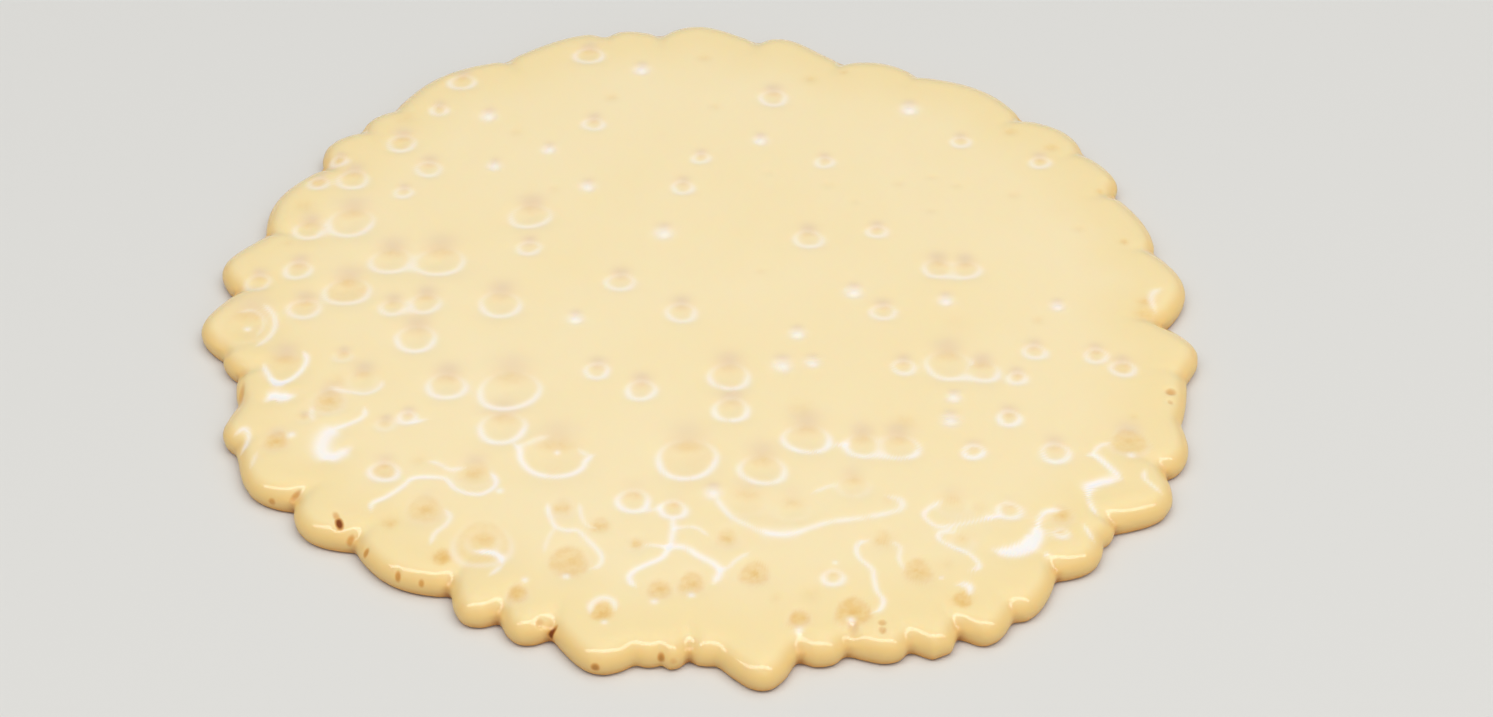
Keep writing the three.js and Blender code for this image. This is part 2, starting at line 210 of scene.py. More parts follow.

# Lines where films and runs of batter meet, drawn as grooves with a painted highlight line: (strength, half
# width, points)
creases = [
    # left edge
    (1, 0.5, [(-59.8, -12.2), (-59, -14.2), (-57.6, -16.2), (-56, -15.7), (-54.5, -13.7), (-53.9, -11.4),
              (-54.6, -9.8)]),
    (1, 0.8, [(-58.3, -15.6), (-57.3, -16.4), (-56.4, -16)]),
    (1.5, 0.9, [(-58.4, -19.7), (-57.6, -18.9), (-56.6, -19.2), (-55, -18.9)]),
    (0.75, 0.5, [(-61.2, -8.6), (-59.8, -6.8), (-59.2, -4.3), (-59.7, -1.8), (-61.3, 0.3)]),
    (0.4, 0.4, [(-64.6, -1.2), (-62.6, -0.9), (-61.1, -2.4), (-60.9, -4.5), (-61.6, -6.3)]),
    (0.9, 0.5, [(-45, -21.3), (-44.9, -23), (-46.3, -24.3), (-48.3, -25.2)]),
    (1.2, 1.3, [(-48.3, -25.2), (-49.6, -26.8), (-50, -28.6), (-49.7, -30.3), (-48.6, -31.1)]),
    (1.1, 1, [(-49, -31.2), (-47.7, -30.8), (-46.3, -29.4)]),
    (0.9, 0.45, [(-62, -26), (-60.8, -25.4), (-60.1, -26.5), (-60.2, -28), (-60.8, -29.3)]),
    (0.5, 0.4, [(-58.5, -30), (-59.1, -32.7)]),
    (0.6, 0.45, [(-52.2, -21.2), (-52.1, -22.6), (-51.5, -24)]),
    (0.7, 0.45, [(-50, -17.2), (-47.5, -18.1), (-45, -18.5), (-43.3, -17.3), (-43, -15.8)]),
    (0.7, 0.4, [(-38.4, -24.5), (-36.2, -23.7)]),
    # left front
    (1, 0.45, [(-42.2, -41.5), (-42.2, -40), (-40.5, -38.8), (-38.5, -36.8), (-37.4, -35.3),
               (-35.5, -35), (-33, -35.3), (-31.7, -37), (-30, -38), (-28, -38.2), (-26.5, -37),
               (-26.2, -35.5), (-27, -34)]),
    (0.7, 0.45, [(-35.5, -32), (-34, -32.5), (-32.5, -33.5), (-30.5, -33)]),
    (0.7, 0.45, [(-32.5, -41), (-31.8, -42.5), (-32.3, -44), (-33.5, -45.5), (-34, -47.5)]),
    (1.2, 0.55, [(-28, -48.4), (-26.3, -48.6), (-25, -49.4), (-24.5, -50.6)]),
    (0.8, 0.45, [(-24.4, -51.2), (-26, -53.2)]),
    # front
    (0.8, 0.45, [(-19.2, -40), (-18.9, -42), (-18, -44.2), (-16.5, -45), (-15, -45.1), (-13.5, -47),
                 (-12.2, -48.8), (-11.7, -50.2), (-12.1, -51.5), (-13.1, -52)]),
    (0.4, 0.4, [(-18, -44.5), (-18.8, -46.5), (-19.2, -49)]),
    (0.6, 0.4, [(-15, -40), (-14.6, -42.5), (-13.9, -44), (-12.8, -44.5)]),
    (1.05, 0.55, [(-24.2, -28.7), (-23.5, -29.6), (-23.2, -31.4), (-22.1, -33.3), (-20.4, -34.4),
                  (-18.3, -34.7), (-16.2, -34.2), (-14.9, -33), (-14.5, -31.7), (-13.6, -30.7)]),
    (0.55, 0.5, [(-24.1, -28.8), (-22.9, -28.6), (-21.4, -27.7), (-19.8, -27)]),
    (0.6, 0.5, [(-13.7, -30.6), (-14.8, -30.2), (-15.6, -29.3)]),
    (0.5, 0.5, [(-6.8, -41.5), (-5, -41.1), (-4.2, -40.1)]),
    (0.9, 0.55, [(-2.8, -42.9), (-2.6, -44.5), (-2.8, -46.5), (-3, -47.6)]),
    (0.8, 0.4, [(-6.3, -47.6), (-4.8, -47.8), (-3, -48)]),
    (1.1, 0.5, [(-3, -47.8), (-3.9, -49.9), (-5.9, -51.2), (-7.5, -52.4), (-8.1, -53.4), (-7.8, -54.5),
                (-7.1, -55.2)]),
    (1.1, 0.6, [(-3.8, -48), (-1.2, -48.1), (0.6, -49.5), (2.5, -50.9), (3.4, -52), (3.4, -53.1),
                (2.7, -54.6)]),
    (0.7, 0.4, [(-2.6, -44.8), (-1.2, -44.4), (0.5, -44.6), (2, -46.1)]),
    (0.7, 0.4, [(3.4, -52.2), (4.5, -51.8), (5.6, -50.4), (7.3, -49)]),
    (0.8, 0.55, [(3, -38.8), (3.5, -40.2), (5, -42.5), (7, -44), (9.5, -45.4), (12.5, -45.7), (15.5, -44.4),
              (18, -43.4), (22, -42.7), (25, -41.9), (27.1, -41), (27.2, -39.4), (25.2, -38.5)]),
    (0.35, 1.1, [(8.5, -45.1), (11, -45.7), (14, -45.1)]),
    (0.6, 0.4, [(15.5, -38.2), (16.6, -37.4), (19.1, -36.2)]),
    (0.9, 0.55, [(18.4, -28.9), (19.8, -28.6), (20.6, -28.3)]),
    (0.9, 0.45, [(22.7, -46.8), (21.3, -47.6), (21.3, -49.8), (23, -52), (23.2, -53.6), (23.5, -55.9),
                 (24.3, -57.5), (23.8, -59.2), (22.8, -59.6)]),
    (0.6, 0.4, [(25.4, -46.8), (26.8, -48.1), (26.5, -50.1), (27.1, -52)]),
    # right front
    (0.9, 0.45, [(32.6, -39.3), (31, -40.7), (30.1, -42.1), (31, -43.7), (32.3, -44.3), (35.4, -43.7),
                 (38.7, -42.7), (40, -42.5)]),
    (1, 0.7, [(37.8, -42.7), (39.2, -42.4)]),
    (0.9, 0.45, [(34.3, -45.2), (32.1, -45.4), (31.8, -46.5), (32.9, -47.6), (34.8, -48.7), (36.2, -50),
                 (36.8, -51.6), (35.4, -52.5)]),
    (1.1, 0.6, [(33.7, -54.8), (35.2, -54.9), (35.3, -56.4)]),
    (1, 0.5, [(48.1, -41), (46.1, -41.5), (45.2, -42.7), (44.7, -44.4)]),
    (1.5, 0.9, [(44.9, -44), (44.5, -46.4), (43.3, -48.2), (41.4, -49), (39, -48.5)]),
    (0.9, 0.7, [(43.8, -46), (42.5, -47.4), (40.8, -48)]),
    (0.8, 0.5, [(-12.9, -59.8), (-12.7, -58.2), (-11.4, -57.1), (-10, -57.7), (-9.7, -59.3)]),
    (0.8, 0.45, [(55.5, -28.3), (54.1, -29.1), (53.2, -30.4)]),
    (1.1, 0.6, [(52.4, -30.8), (53.6, -31), (55.2, -33.2), (56.5, -35.2)]),
    (1.2, 0.8, [(56, -35.4), (54.1, -35.8), (52.6, -36.6)]),
    (1.3, 1, [(52.9, -36.1), (52.2, -36.7), (52, -38)]),
    (1, 0.5, [(52.1, -37.3), (51.9, -38.4), (52.2, -40.4), (52.7, -41.9)]),
    (0.8, 0.45, [(59.9, -33.5), (59.6, -35.2), (60.6, -36.6), (61.6, -37.6)]),
    (0.8, 0.45, [(50.8, -43.7), (51.3, -45), (51.9, -46.5)]),
    (0.7, 0.6, [(65.8, 3.7), (64.6, 2.7), (64.2, 1), (64.6, -0.8)]),
]

# Tiny blisters shown by a small raised bump and a painted glint: (x, y, diameter)
glints = [
    (-18.4, -29.9, 0.9), (-16.2, -53.2, 1.1), (-0.1, -56.6, 1.1), (-4.8, -57.8, 1.1), (13.5, -62.6, 1.1),
    (20.1, -60.8, 1.2), (-11, -61.4, 0.9), (-21.4, -54, 1), (58.3, -30.6, 1.2), (-63, -4.6, 1.1),
    (-54.3, -26.8, 1.2), (45.6, -49.1, 0.8), (18.3, -50.9, 0.8), (43.4, -46, 0.9), (31.8, -53.6, 0.7),
    (-25.6, -37.6, 1.1),
]

# How the bubbles and lines are formed. Lengths in mm, sizes in bubble diameters where it says so.
bubbleForm = {
    "depth": 0.07,           # depth of a bubble's hollow in diameters
    "deepest": 0.5,          # limit of that depth
    "lip": 0.5,              # share of the depth at the ring itself
    "dip": 0.8,              # width of the dip round the ring, in ring radii
    "join": 1.8,             # rounding where two bubbles run together
    "taper": 0.3,            # a ring is wider on its near side
    "wobble": 0.04,          # how far a ring strays from a circle
    "wobbleFine": 0.6,       # the finer of the two waves that it does so in, as a share of the other
    "farSet": 0.75,          # below 1 it draws the far half of a set film longer than its near half
    "farFlat": 0.5,          # added to that for a film that isn't set, whose far half is flatter
    "lineWidth": 0.56,       # half width of the painted highlight line where a film meets the batter
    "lineInset": 0.25,       # how far inside the ring its near line lies
    "nearHalf": 0.75,        # the painted highlight line is strongest on the near half
    "farLine": 0.95,         # the far half of a ring is fainter, the more so the larger the ring
    "farFade": 0.14,         # by this for each mm of diameter
    "farRange": (0.06, 0.5),
    "mergedBack": 0.45,      # where bubbles have run together, even fainter
    "softLine": 0.68,        # share of the line that is left in the still middle and back
    "softFrom": (-30, -5),   # where the front's lines soften to that, straight back
    "filmShift": 0.34,       # a film that isn't set has a patch of painted shade toward its far side, in diameters
    "filmWide": 1.45,        # that painted shade patch is wider than deep
    "filmSize": 0.14,        # its depth from the middle in diameters
    "filmEdge": 0.4,         # and how much more it is
    "filmTanAndShade": 0.25,         # the least tan and painted shade
    "tanShare": 0.54,        # how much a film's own tan adds to it
    "ringTan": 0.78,         # share of both in a film that isn't set
    "setTan": 0.4,           # a film with less tan than this isn't set, even with no pale ring
    "discTan": 0.3,          # a film more tan than this is tan all over
    "discShare": 0.8,
    "discEdge": (-0.5, 0.4), # where that ends, from inside the ring to outside it
    "mergedTan": 0.2,        # how tan bubbles that have run together are
    "shade": 0.8,            # a faint grey patch over the far side of the ring and beyond it
    "shadeShift": 0.5,       # how far back from the middle and how large, in diameters
    "shadeSize": 0.33,
    "shadeInside": 0.25,     # how it fades inside the ring, for each mm
    "shadeFull": 5.6,        # the patch is thinner over bubbles larger than this
    "shadeFrom": (-48, -22), # where it comes in, straight back
    "beadDepth": 0.2,
    "beadRing": 0.4,         # radius and half width of the groove round a bead, in diameters
    "beadGroove": 0.2,
    "beadShift": 0.7,        # a bead's painted grey shade, how far back and how large, in diameters
    "beadShade": 0.45,
    "beadLight": 1.03,       # how strong a bead's painted highlight is, and how large, in diameters
    "beadSize": 0.59,
    "glintSize": 0.5,
    "dimpleDepth": 0.1,
    "dimpleSize": 0.45,
    "poreDepth": 0.4,        # in pore widths
    "creaseShare": 0.15,     # share of a crease's depth that is wide and soft
    "creaseWide": 1.5,       # how wide that is, in crease widths
    "creaseEnd": (-0.3, 1),  # where a crease comes in, from its end
    "endWidth": 0.55,        # share of its width and of its strength at the very end
    "endStrength": 0.4,
    "faintest": 0.003,       # a line weaker than this isn't drawn
}


def rimLoop(node):
    # bearing and radius of the solid's widest line, read from the frame
    points = np.array([vertex.co[:] for vertex in node.data.vertices]) / mm
    widest = points[np.abs(points[:, 2] - batter["bulgeHeight"]) < batter["bulgeReach"]]
    bearing = np.round(np.arctan2(widest[:, 1], widest[:, 0]), 5)
    bearing, first = np.unique(bearing, return_index=True)
    return bearing, np.hypot(widest[first, 0], widest[first, 1])


def rimRadius(loop, bearing):
    # a smooth closed curve through the solid's facets
    turn = 2 * math.pi
    knots, radii = loop
    knots = np.concatenate([knots[-2:] - turn, knots, knots[:2] + turn])
    radii = np.concatenate([radii[-2:], radii, radii[:2]])
    slopes = np.gradient(radii, knots)
    bearing = (bearing + math.pi) % turn - math.pi
    at = np.clip(np.searchsorted(knots, bearing) - 1, 0, len(knots) - 2)
    span = knots[at + 1] - knots[at]
    t = (bearing - knots[at]) / span
    start = radii[at] * (1 + 2 * t) * (1 - t) ** 2 + slopes[at] * span * t * (1 - t) ** 2
    end = radii[at + 1] * t * t * (3 - 2 * t) + slopes[at + 1] * span * t * t * (t - 1)
    return np.minimum(start + end, np.maximum(radii[at], radii[at + 1])) - batter["inside"]


def distanceToRim(loop, x, y):
    # distance in plan to the widest line, for points inside it
    turn = 2 * math.pi
    count, search = batter["rimSteps"], batter["rimSearch"]
    ring = np.arange(count) * turn / count
    radius = rimRadius(loop, ring)
    rimX, rimY = radius * np.cos(ring), radius * np.sin(ring)
    nearest = np.full(len(x), farOff)
    home = np.round(np.arctan2(y, x) % turn / turn * count).astype(int)
    for offset in range(-search, search + 1):
        a = (home + offset) % count
        b = (a + 1) % count
        alongX, alongY = rimX[b] - rimX[a], rimY[b] - rimY[a]
        reach = ((x - rimX[a]) * alongX + (y - rimY[a]) * alongY) / (alongX ** 2 + alongY ** 2)
        reach = np.clip(reach, 0, 1)
        gap = np.hypot(rimX[a] + alongX * reach - x, rimY[a] + alongY * reach - y)
        nearest = np.minimum(nearest, gap)
    return nearest


def clefts(loop):
    # the inner points between the lobes: (bearing, radius, how deep it is, up to 1)
    count, steps, lobe = batter["rimSteps"], batter["cleftSteps"], batter["lobeSteps"]
    ring = np.arange(count) * 2 * math.pi / count
    radius = rimRadius(loop, ring)
    found = []
    for i in range(count):
        near = radius[np.arange(i - steps, i + steps + 1) % count]
        if radius[i] > near.min():
            continue
        left = radius[np.arange(i - lobe, i) % count].max() - radius[i]
        right = radius[np.arange(i + 1, i + lobe + 1) % count].max() - radius[i]
        depth = min(left, right)
        if depth > batter["leastCleft"]:
            found.append((ring[i], radius[i], min(depth / batter["fullCleft"], 1)))
    return found


def valleys(loop, x, y, width):
    # how far a point is in a cleft, from 0 to 1
    share = np.zeros(len(x))
    for bearing, radius, strength in clefts(loop):
        inner = radius - batter["creaseLength"]
        ends = [(r * math.cos(bearing), r * math.sin(bearing)) for r in (radius, inner)]
        fade = smoothStep(inner, radius, np.hypot(x, y))
        deepen(share, strength * fade * bell(pathGap(ends, x, y)[0], width))
    return share


def shoulderHeight(gap):
    # height of the upper face at a distance from the rim, before any relief
    lean = 1 - np.clip(gap / batter["shoulderRun"], 0, 1)
    return batter["bulgeHeight"] + (batter["thickness"] - batter["bulgeHeight"]) * np.sqrt(1 - lean ** 2)


def pathGap(path, x, y):
    # distance to a line of points, how far along it the nearest point is, and its length
    nearest = np.full(len(x), farOff)
    place = np.zeros(len(x))
    walked = 0
    for (ax, ay), (bx, by) in zip(path, path[1:]):
        alongX, alongY = bx - ax, by - ay
        length = math.hypot(alongX, alongY)
        reach = ((x - ax) * alongX + (y - ay) * alongY) / length ** 2
        reach = np.clip(reach, 0, 1)
        gap = np.hypot(ax + alongX * reach - x, ay + alongY * reach - y)
        closer = gap < nearest
        nearest = np.where(closer, gap, nearest)
        place = np.where(closer, walked + reach * length, place)
        walked += length
    return nearest, place, walked


def smoothMin(a, b, width):
    mix = np.clip(0.5 + 0.5 * (b - a) / width, 0, 1)
    return b * (1 - mix) + a * mix - width * mix * (1 - mix)


def roundedPath(points, steps=5):
    # a curve through a crease's points
    ends = [points[0]] + list(points) + [points[-1]]
    path = []
    for i in range(1, len(ends) - 2):
        p0, p1, p2, p3 = (np.array(ends[j], float) for j in range(i - 1, i + 3))
        for step in range(steps):
            t = step / steps
            curve = 2 * p1 + (p2 - p0) * t + (2 * p0 - 5 * p1 + 4 * p2 - p3) * t ** 2
            curve = curve + (3 * p1 - p0 - 3 * p2 + p3) * t ** 3
            path.append(tuple(curve / 2))
    path.append(tuple(points[-1]))
    return path


def addRings(x, y, marks):
    # bubbles that have thinned to a film: a shallow hollow with a painted highlight line round it, painted
    # shade at its far side and behind it, and the film's tan
    form = bubbleForm
    groups = [(group, form["mergedTan"], line) for line, group in mergedBubbles]
    groups += [([(bx, by, size)], tan, line) for bx, by, size, tan, line in ringBubbles]
    still = 1 - (1 - form["softLine"]) * smoothStep(*form["softFrom"], y)
    far = smoothStep(*form["shadeFrom"], y)
    for group, tan, line in groups:
        pale = min(line, 1) if tan >= form["setTan"] else 1
        amount = form["filmTanAndShade"] + form["tanShare"] * tan
        amount *= 1 - (1 - form["ringTan"]) * pale
        shift = form["filmShift"] * pale
        gap = np.full(len(x), farOff)
        near = np.zeros(len(x))
        for bx, by, diameter in group:
            back = y - by
            away = np.where(back > 0, back * (form["farSet"] + form["farFlat"] * pale), back)
            across = (x - bx) * (1 + form["taper"] * away / diameter)
            turn = np.arctan2(away, across)
            wave = np.sin(2 * turn + bx) + form["wobbleFine"] * np.sin(3 * turn + by)
            own = np.hypot(across, away) - diameter / 2 * (1 + form["wobble"] * wave)
            near = np.where(own < gap, np.clip(form["nearHalf"] * (1 - np.sin(turn)), 0, 1), near)
            gap = smoothMin(gap, own, form["join"])
            spread = form["filmSize"] * diameter + form["filmEdge"]
            patch = bell(np.hypot((x - bx) / form["filmWide"], away - shift * diameter), spread)
            deepen(marks["film"], amount * patch)
            behind = np.hypot(x - bx, back - form["shadeShift"] * diameter)
            patch = bell(behind, form["shadeSize"] * diameter)
            thin = min(form["shadeFull"] / diameter, 1) * np.clip(1 + form["shadeInside"] * gap, 0, 1)
            deepen(marks["shade"], form["shade"] * far * patch * thin)
        disc = form["discShare"] * max(tan - form["discTan"], 0)
        deepen(marks["film"], disc * (1 - smoothStep(*form["discEdge"], gap)))
        size = max(bubble[2] for bubble in group)
        radius = size / 2
        outside = np.clip(1 - gap / (form["dip"] * radius), 0, 1) ** 2 * form["lip"]
        inside = form["lip"] + (1 - form["lip"]) * smoothStep(0, 1, np.clip(-gap / radius, 0, 1))
        depth = min(form["depth"] * size, form["deepest"])
        deepen(marks["low"], depth * np.where(gap > 0, outside, inside))
        least = np.clip(form["farLine"] - form["farFade"] * size, *form["farRange"])
        least *= form["mergedBack"] if len(group) > 1 else 1
        strength = line * still * (least + (1 - least) * near)
        marks["line"] += strength * bell(gap + form["lineInset"] * near ** 2, form["lineWidth"])


def addSpots(x, y, marks):
    # the smallest bubbles: beads and blisters with a painted highlight, and dimples
    form = bubbleForm
    for bx, by, size in beadBubbles:
        away = np.hypot(x - bx, y - by)
        groove = bell(away - form["beadRing"] * size, form["beadGroove"] * size)
        deepen(marks["low"], form["beadDepth"] * groove)
        behind = np.hypot(x - bx, y - by - form["beadShift"] * size)
        deepen(marks["shade"], form["shade"] * bell(behind, form["beadShade"] * size))
        marks["bead"] += form["beadLight"] * bell(away, form["beadSize"] * size)
    for bx, by, size in glints:
        marks["bead"] += bell(np.hypot(x - bx, y - by), form["glintSize"] * size)
    for bx, by, size, tan in faintDimples:
        patch = bell(np.hypot(x - bx, y - by), form["dimpleSize"] * size)
        deepen(marks["low"], form["dimpleDepth"] * patch)
        deepen(marks["film"], form["tanShare"] * tan * patch)


def addPores(x, y, marks):
    for bx, by, width, length, turn, _ in pores:
        turn = math.radians(turn)
        along = (x - bx) * math.cos(turn) + (y - by) * math.sin(turn)
        across = (y - by) * math.cos(turn) - (x - bx) * math.sin(turn)
        away = np.hypot(along / (length / 2), across / (width / 2))
        deepen(marks["low"], bubbleForm["poreDepth"] * width * bell(away, 1))


def addCreases(x, y, marks):
    # lines where runs of batter meet, as soft grooves with a painted highlight line in them
    form = bubbleForm
    for strength, width, points in creases:
        gap, place, length = pathGap(roundedPath(points), x, y)
        full = smoothStep(*form["creaseEnd"], place) * smoothStep(*form["creaseEnd"], length - place)
        groove = bell(gap, form["creaseWide"] * width)
        deepen(marks["low"], form["creaseShare"] * strength * width * groove)
        line = bell(gap, width * (form["endWidth"] + (1 - form["endWidth"]) * full))
        marks["line"] += strength * line * (form["endStrength"] + (1 - form["endStrength"]) * full)


def bubbleRelief(x, y):
    # how far the upper face is lowered, and what the material needs to know at each point
    marks = {name: np.zeros(len(x)) for name in ("low", "film", "shade", "line", "bead")}
    addRings(x, y, marks)
    addSpots(x, y, marks)
    addPores(x, y, marks)
    addCreases(x, y, marks)
    lowering = marks.pop("low")
    for name in ("line", "bead"):  # kept as a logarithm, which stays smooth from vertex to vertex
        marks[name] = -np.log(np.maximum(marks[name], bubbleForm["faintest"]))
    return lowering, marks


def discFromGrid(square, loop):
    # each square ring of the grid turns into one ring round the middle; gives each corner's place in
    # plan and its distance to the rim
    form = batter
    rings = form["cells"] / 2
    gx, gy = square[:, 0], square[:, 1]
    wide = np.abs(gx) >= np.abs(gy)
    safeX, safeY = np.where(gx == 0, 1, gx), np.where(gy == 0, 1, gy)
    swing = np.where(wide, math.pi / 4 * gy / safeX, math.pi / 2 - math.pi / 4 * gx / safeY)
    reach = np.where(wide, gx, gy)
    bearing = np.arctan2(reach * np.sin(swing), reach * np.cos(swing))
    ring = np.round(np.maximum(np.abs(gx), np.abs(gy)) * rings)

    inner = rings - form["shoulderRings"]
    rim = rimRadius(loop, bearing)
    rise = np.clip((ring - inner) / form["shoulderRings"], 0, 1)
    inset = form["shoulderRun"] * (1 - np.cos((1 - rise) * math.pi / 2))
    radius = np.where(ring <= inner, ring / inner * (rim - form["shoulderRun"]), rim - inset)
    x, y = radius * np.cos(bearing), radius * np.sin(bearing)

    gap = np.full(len(x), form["rimZone"])
    near = radius > rim - form["rimZone"]
    gap[near] = distanceToRim(loop, x[near], y[near])
    gap[ring == rings] = 0
    return x, y, gap


def topHeight(loop, x, y, gap, lowering):
    # the shoulder's curve, lowered by the clefts' creases, the bubbles and a slow swell
    form = batter
    height = shoulderHeight(gap)
    relief = smoothStep(0, form["reliefStart"], gap)
    height -= relief * form["creaseDepth"] * valleys(loop, x, y, form["creaseWidth"])
    angles = (x, y, x + y)
    across, back, aslant = (
        angle / run + start
        for angle, run, start in zip(angles, form["swellRuns"], form["swellStarts"])
    )
    swell = 0.5 + 0.25 * np.sin(across) * np.cos(back) + 0.25 * np.sin(aslant)  # from 0 to 1
    height -= relief * (lowering + form["swell"] * swell)
    return height


def closeUnderside(mesh, loop):
    # the rim turns under to the foot, and the underside closes it
    form = batter
    rows = []
    for step in range(form["footRings"] - 1, -1, -1):
        angle = step / form["footRings"] * math.pi / 2
        inset = form["footInset"] * (1 - math.sin(angle))
        rows.append((inset, form["bulgeHeight"] * (1 - math.cos(angle)), 1))
    for step in range(form["undersideRings"]):
        shrink = 1 - (step + form["footStep"]) / form["undersideRings"]
        rows.append((form["footInset"], 0, shrink))
    edges = [edge for edge in mesh.edges if edge.is_boundary]
    for inset, z, shrink in rows:
        made = bmesh.ops.extrude_edge_only(mesh, edges=edges)["geom"]
        edges = [item for item in made if isinstance(item, bmesh.types.BMEdge)]
        for vertex in (item for item in made if isinstance(item, bmesh.types.BMVert)):
            turn = math.atan2(vertex.co.y, vertex.co.x)
            out = (rimRadius(loop, np.array([turn]))[0] - inset) * shrink * mm
            vertex.co = (out * math.cos(turn), out * math.sin(turn), z * mm)
    face = bmesh.ops.contextual_create(mesh, geom=edges)["faces"]
    bmesh.ops.poke(mesh, faces=face)


def storeLayer(data, name, values):
    layer = data.attributes.new(name, "FLOAT", "POINT")
    layer.data.foreach_set("value", values)


def storeMarks(data, loop, marks):
    # the marks cover the top's points, which come first; the side and underside have no bubbles
    places = np.array([vertex.co[:] for vertex in data.vertices]) / mm
    for name, values in marks.items():
        rest = np.zeros(len(places) - len(values))
        if name == "rimGap":
            rest = places[len(values):, 2] - batter["bulgeHeight"]
        if name in ("line", "bead"):
            rest += values.max()
        storeLayer(data, name, np.concatenate([values, rest]))
    storeLayer(data, "cleft", valleys(loop, places[:, 0], places[:, 1], batter["cleftShadeWidth"]))


def makePancake():
    cells = batter["cells"]
    mesh = bmesh.new()
    bmesh.ops.create_grid(mesh, x_segments=cells, y_segments=cells, size=1)
    loop = rimLoop(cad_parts["pancake"])
    x, y, gap = discFromGrid(np.array([vertex.co[:] for vertex in mesh.verts]), loop)
    lowering, marks = bubbleRelief(x, y)
    marks["rimGap"] = gap
    height = topHeight(loop, x, y, gap, lowering)
    for vertex, px, py, pz in zip(mesh.verts, x, y, height):
        vertex.co = (px * mm, py * mm, pz * mm)
    closeUnderside(mesh, loop)
    bmesh.ops.recalc_face_normals(mesh, faces=mesh.faces)

    data = bpy.data.meshes.new("pancakeCake")
    mesh.to_mesh(data)
    mesh.free()
    data.shade_smooth()
    storeMarks(data, loop, marks)
    return addObject("pancakeCake", data)


def addNode(tree, kind, inputs=None, give=0, **settings):
    # makes a node with its settings, links or sets its inputs, and gives back one output
    node = tree.nodes.new(kind)
    for name, value in settings.items():
        setattr(node, name, value)
    for socket, value in (inputs or {}).items():
        if isinstance(value, bpy.types.NodeSocket):
            tree.links.new(value, node.inputs[socket])
        else:
            node.inputs[socket].default_value = value
    return node.outputs[give] if node.outputs else None


